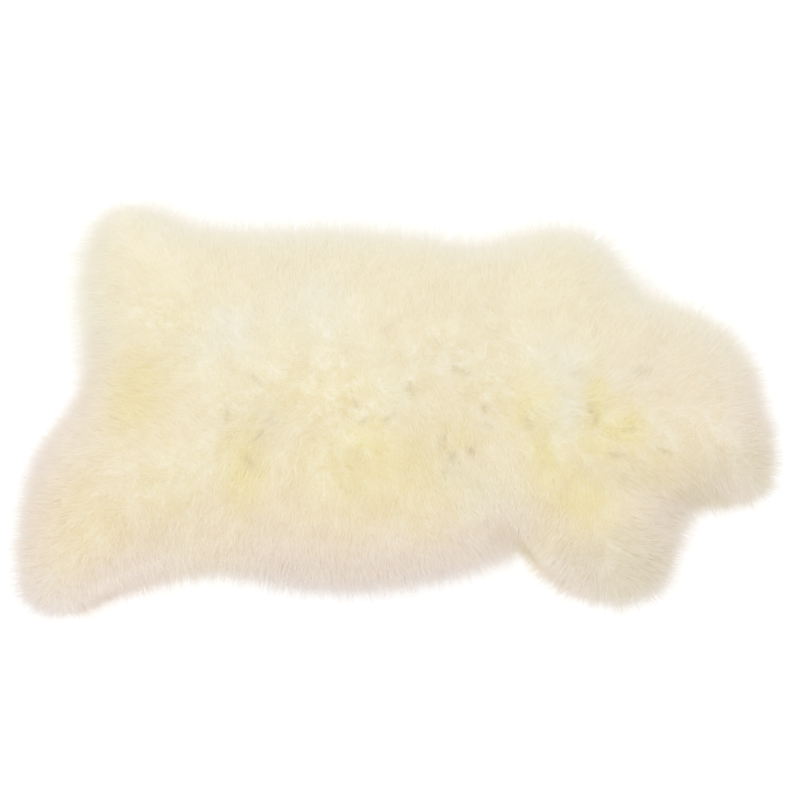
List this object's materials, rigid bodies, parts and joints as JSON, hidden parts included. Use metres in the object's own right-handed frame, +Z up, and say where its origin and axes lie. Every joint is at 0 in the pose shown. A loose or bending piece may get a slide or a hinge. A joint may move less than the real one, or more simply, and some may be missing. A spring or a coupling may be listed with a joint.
{
  "type": "sheepskin rug",
  "caption": "Flat sheepskin rug of tanned hide with long brushed ivory wool, its outline showing the neck and legs; lies wool side up on a floor, bench or seat.",
  "frame": {"origin": "on the flat underside, in the middle of the box that the rug fills on the floor", "axes": "+X from the tail edge to the neck, +Y across the skin, +Z up through the wool"},
  "size_m": [1.0088, 0.6502, 0.053],
  "materials": {
    "wool": "long brushed wool, matt with a soft sheen",
    "hide": "tanned flesh side, suede nap"
  },
  "bodies": {
    "root": {"sheepskin": "wool"}
  },
  "joints": []
}
